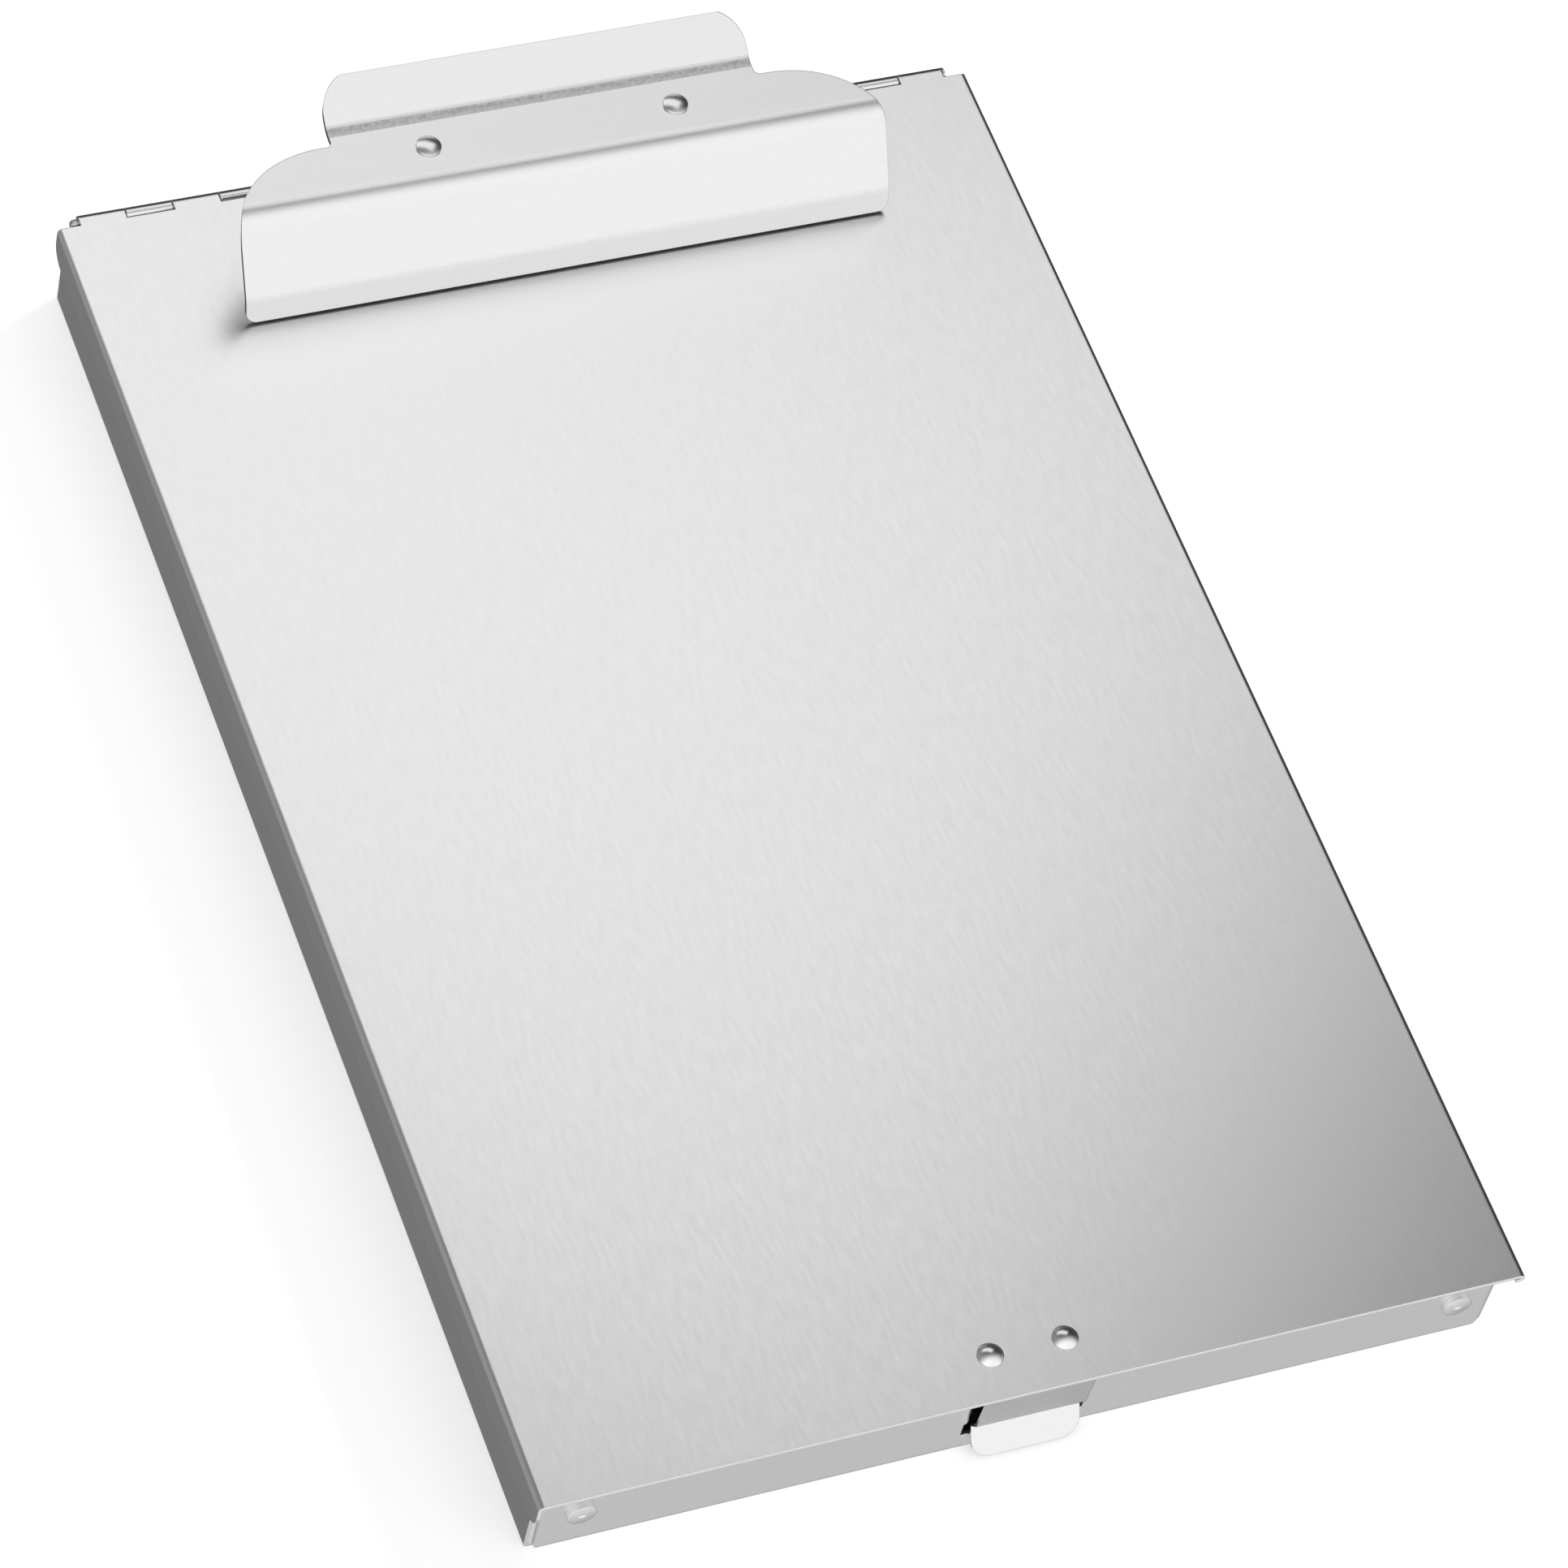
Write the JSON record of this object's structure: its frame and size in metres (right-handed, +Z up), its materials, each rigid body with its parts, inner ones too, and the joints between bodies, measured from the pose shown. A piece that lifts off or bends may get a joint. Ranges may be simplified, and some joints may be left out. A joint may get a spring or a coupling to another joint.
{
  "type": "storage clipboard",
  "caption": "Flat metal storage clipboard: a shallow tray box whose hinged lid is the writing board, with a front latch and a wide sprung paper clip at the hinge end.",
  "frame": {"origin": "bottom centre of the whole object's box: the underside of the tray is at Z 0", "axes": "+Z up out of the writing surface, +Y towards the hinge and the clip, +X to the writer's right"},
  "size_m": [0.238, 0.3718, 0.0578],
  "materials": {
    "lid_sheet": "satin, fine mottled mill grain",
    "tray_sheet": "satin, fine mottled mill grain",
    "clip_steel": "bright, brushed along the clip's width",
    "latch_steel": "bright satin",
    "plated_steel": "plain bright plating",
    "spring_steel": "drawn wire, lightly oiled",
    "dome_rivet": "polished dome",
    "wall_rivet": "pressed, satin",
    "grip_rubber": "matt"
  },
  "bodies": {
    "tray": {"tray": "tray_sheet", "tray_rivet_front_left": "wall_rivet", "tray_rivet_front_right": "wall_rivet", "tray_rivet_back_left": "wall_rivet", "tray_rivet_back_right": "wall_rivet", "hinge_rod": "plated_steel"},
    "lid": {"lid": "lid_sheet", "latch_base": "latch_steel", "latch_rivet_left": "dome_rivet", "latch_rivet_right": "dome_rivet", "base_bracket": "plated_steel", "base_rivet_front_left": "dome_rivet", "base_rivet_front_right": "dome_rivet", "base_rivet_back_left": "dome_rivet", "base_rivet_back_right": "dome_rivet", "clip_pin": "plated_steel", "clip_spring_left": "spring_steel", "clip_spring_right": "spring_steel"},
    "latch": {"latch_strip": "latch_steel"},
    "clip": {"clip_lever": "clip_steel", "lever_bracket": "plated_steel", "lever_rivet_left": "dome_rivet", "lever_rivet_right": "dome_rivet", "jaw_grip": "grip_rubber"}
  },
  "joints": [
    {"name": "lid_open", "type": "hinge", "parent": "tray", "child": "lid", "pos_m": [0, 0.18043, 0.0235], "axis": [-1, 0, 0], "range_deg": [0, 110]},
    {"name": "clip_open", "type": "hinge", "parent": "lid", "child": "clip", "pos_m": [0, 0.16688, 0.04], "axis": [-1, 0, 0], "range_deg": [0, 30], "stiffness_Nm_per_rad": 1, "springref_deg": -28.65, "deforming": ["clip_spring_left", "clip_spring_right"]},
    {"name": "latch_flex", "type": "hinge", "parent": "lid", "child": "latch", "pos_m": [0, -0.18412, 0.0237], "axis": [-1, 0, 0], "range_deg": [0, 8], "stiffness_Nm_per_rad": 0.05, "springref_deg": -8.59}
  ]
}
